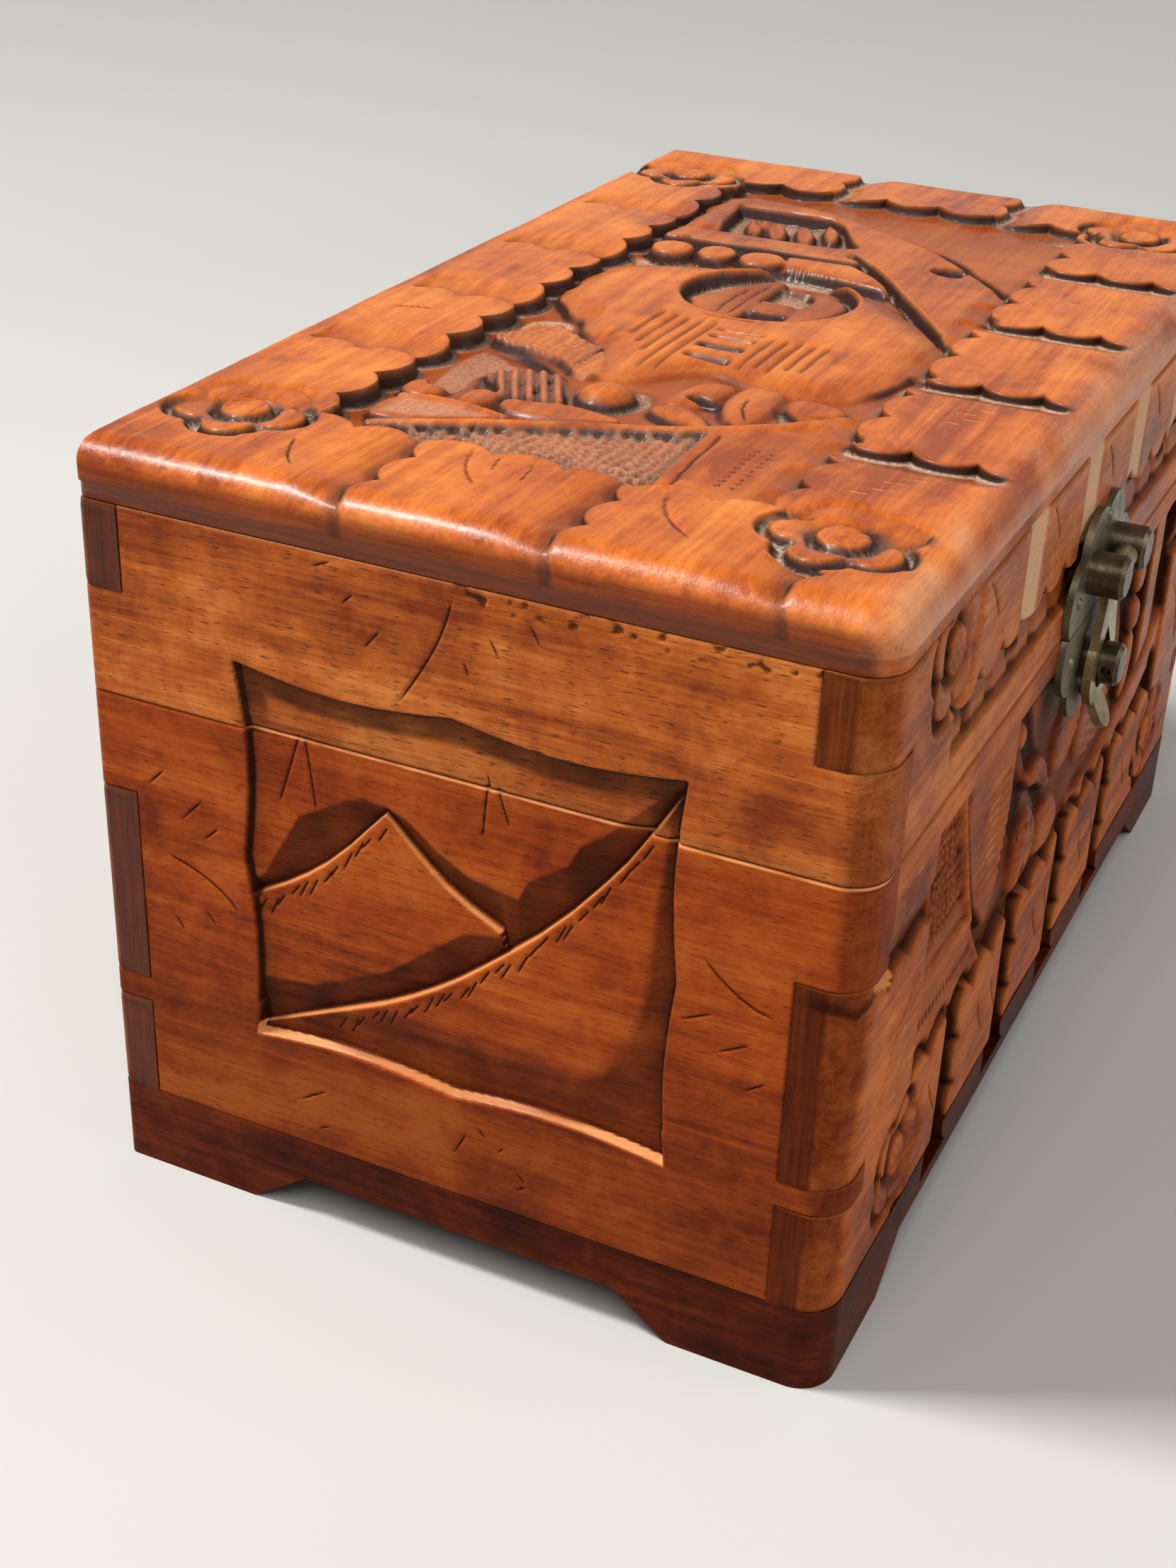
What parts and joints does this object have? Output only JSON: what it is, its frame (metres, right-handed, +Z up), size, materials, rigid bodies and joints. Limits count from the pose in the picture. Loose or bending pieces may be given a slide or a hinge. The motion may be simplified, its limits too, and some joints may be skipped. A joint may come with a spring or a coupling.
{
  "type": "carved wooden trinket box",
  "caption": "Oblong carved hardwood box with finger-jointed corners, a hinged lid, a brass post-and-hasp clasp and low sloped feet.",
  "frame": {"origin": "on the floor, under the middle of the whole part's length and width", "axes": "+X along the box's length towards its right end, -Y out of the carved front with the clasp, +Y towards the hinges, +Z up"},
  "size_m": [0.22, 0.138, 0.1293],
  "materials": {
    "lid_wood": "varnished, glossy on top",
    "body_wood": "varnished",
    "base_wood": "varnished",
    "plate_brass": "dull, tarnished",
    "post_brass": "tarnished, worn bright on the rims",
    "hasp_brass": "satin, lightly tarnished",
    "hinge_brass": "dull, tarnished"
  },
  "bodies": {
    "box": {"front_board": "body_wood", "back_board": "body_wood", "left_end_board": "body_wood", "right_end_board": "body_wood", "base_board": "base_wood", "foot_front_left": "base_wood", "foot_front_right": "base_wood", "foot_back_left": "base_wood", "foot_back_right": "base_wood", "clasp_lower_plate": "plate_brass", "lock_post": "post_brass", "clasp_lower_nails": "plate_brass", "left_hinge_body_leaf": "hinge_brass", "left_hinge_pin": "hinge_brass", "right_hinge_body_leaf": "hinge_brass", "right_hinge_pin": "hinge_brass", "hinge_body_nails": "hinge_brass"},
    "lid": {"top_board": "lid_wood", "lid_front_board": "lid_wood", "lid_back_board": "lid_wood", "lid_left_end": "lid_wood", "lid_right_end": "lid_wood", "clasp_upper_plate": "plate_brass", "hasp_post_left": "post_brass", "hasp_post_right": "post_brass", "hasp_pin": "post_brass", "clasp_upper_nails": "plate_brass", "left_hinge_lid_leaf": "hinge_brass", "right_hinge_lid_leaf": "hinge_brass", "hinge_lid_nails": "hinge_brass"},
    "hasp": {"hasp": "hasp_brass"}
  },
  "joints": [
    {"name": "lid_hinge", "type": "hinge", "parent": "box", "child": "lid", "pos_m": [0, 0.0673, 0.0891], "axis": [-1, 0, 0], "range_deg": [0, 175]},
    {"name": "hasp_hinge", "type": "hinge", "parent": "lid", "child": "hasp", "pos_m": [0, -0.0661, 0.0978], "axis": [-1, 0, 0], "range_deg": [0, 180]}
  ]
}
